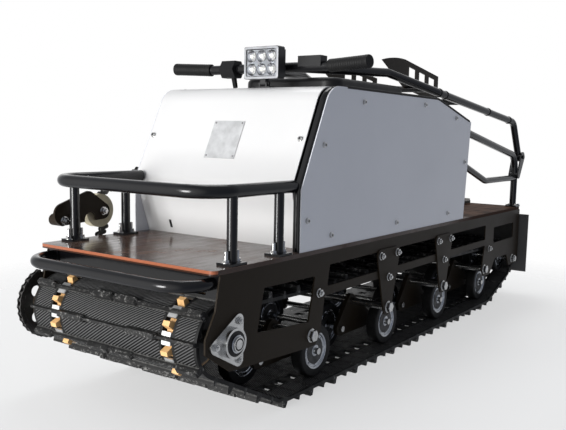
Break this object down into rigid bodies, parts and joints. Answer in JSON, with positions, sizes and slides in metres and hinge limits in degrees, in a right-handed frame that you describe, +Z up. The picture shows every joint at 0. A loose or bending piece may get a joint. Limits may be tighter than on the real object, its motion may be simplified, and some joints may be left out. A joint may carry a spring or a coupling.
{
  "type": "tracked snow tug",
  "caption": "Low tracked snow tug with a plywood deck, white engine cowl, front load rail, one wide lugged rubber track on rocker wheels, a work lamp and a handlebar that folds forward.",
  "frame": {"origin": "middle of the footprint at ground level, under the lugs' tips", "axes": "+Z up, -Y to the front of the machine, +X to its left side"},
  "size_m": [0.6306, 1.9644, 0.8561],
  "materials": {
    "deck_ply": "phenolic film over birch ply, satin",
    "black_plate": "satin black powder coat",
    "black_tube": "gloss black paint",
    "white_sheet": "smooth white powder coat",
    "zinc_steel": "bright zinc plate",
    "chain_steel": "oiled chain steel",
    "track_rubber": "moulded black rubber",
    "wheel_rubber": "black rubber",
    "flap_rubber": "black sheet rubber",
    "grip_rubber": "ribbed black rubber",
    "sprocket_plastic": "orange cast plastic",
    "roller_cream": "cream polyurethane",
    "control_plastic": "black moulded plastic",
    "engine_iron": "dark cast metal",
    "lamp_metal": "dark coated die-cast",
    "lamp_glass": "clear lens"
  },
  "bodies": {
    "chassis": {"deck": "deck_ply", "side_plate_left": "black_plate", "side_plate_right": "black_plate", "cross_members": "black_plate", "hangers": "black_plate", "rocker_arms": "black_plate", "rocker_pivot_shafts": "zinc_steel", "road_wheel_axles": "zinc_steel", "road_wheels": "wheel_rubber", "track": "track_rubber", "drive_sprockets": "sprocket_plastic", "drive_shaft": "zinc_steel", "bearing_flange_left": "zinc_steel", "bearing_flange_right": "zinc_steel", "rear_idler_axle": "zinc_steel", "rear_idler_wheels": "wheel_rubber", "drive_chain": "chain_steel", "chain_wheel": "chain_steel", "output_sprocket": "chain_steel", "output_shaft": "zinc_steel", "tensioner_roller": "roller_cream", "tensioner_bracket": "black_plate", "tensioner_arm": "black_plate", "front_bumper": "black_tube", "front_rail": "black_tube", "cowl_frame": "black_tube", "cowl_side_left": "white_sheet", "cowl_side_right": "white_sheet", "cowl_front_panel": "white_sheet", "cowl_top_panel": "white_sheet", "cowl_rear_panel": "white_sheet", "engine_block": "engine_iron", "engine_cover": "control_plastic", "rear_arch_left": "black_tube", "rear_arch_right": "black_tube", "mud_flap": "flap_rubber", "tow_tongue": "black_plate", "lamp_bracket": "lamp_metal"},
    "handlebar": {"handlebar_frame": "black_tube", "grip_left": "grip_rubber", "grip_right": "grip_rubber", "control_block": "control_plastic", "console_bracket": "black_plate"},
    "lamp": {"lamp_housing": "lamp_metal", "lamp_lens": "lamp_glass"}
  },
  "joints": [
    {"name": "handlebar_fold", "type": "hinge", "parent": "chassis", "child": "handlebar", "pos_m": [0, 0.90425, 0.548], "axis": [-1, 0, 0], "range_deg": [0, 150]},
    {"name": "lamp_tilt", "type": "hinge", "parent": "chassis", "child": "lamp", "pos_m": [0.03, -0.45875, 0.742], "axis": [1, 0, 0], "range_deg": [0, 20]}
  ]
}
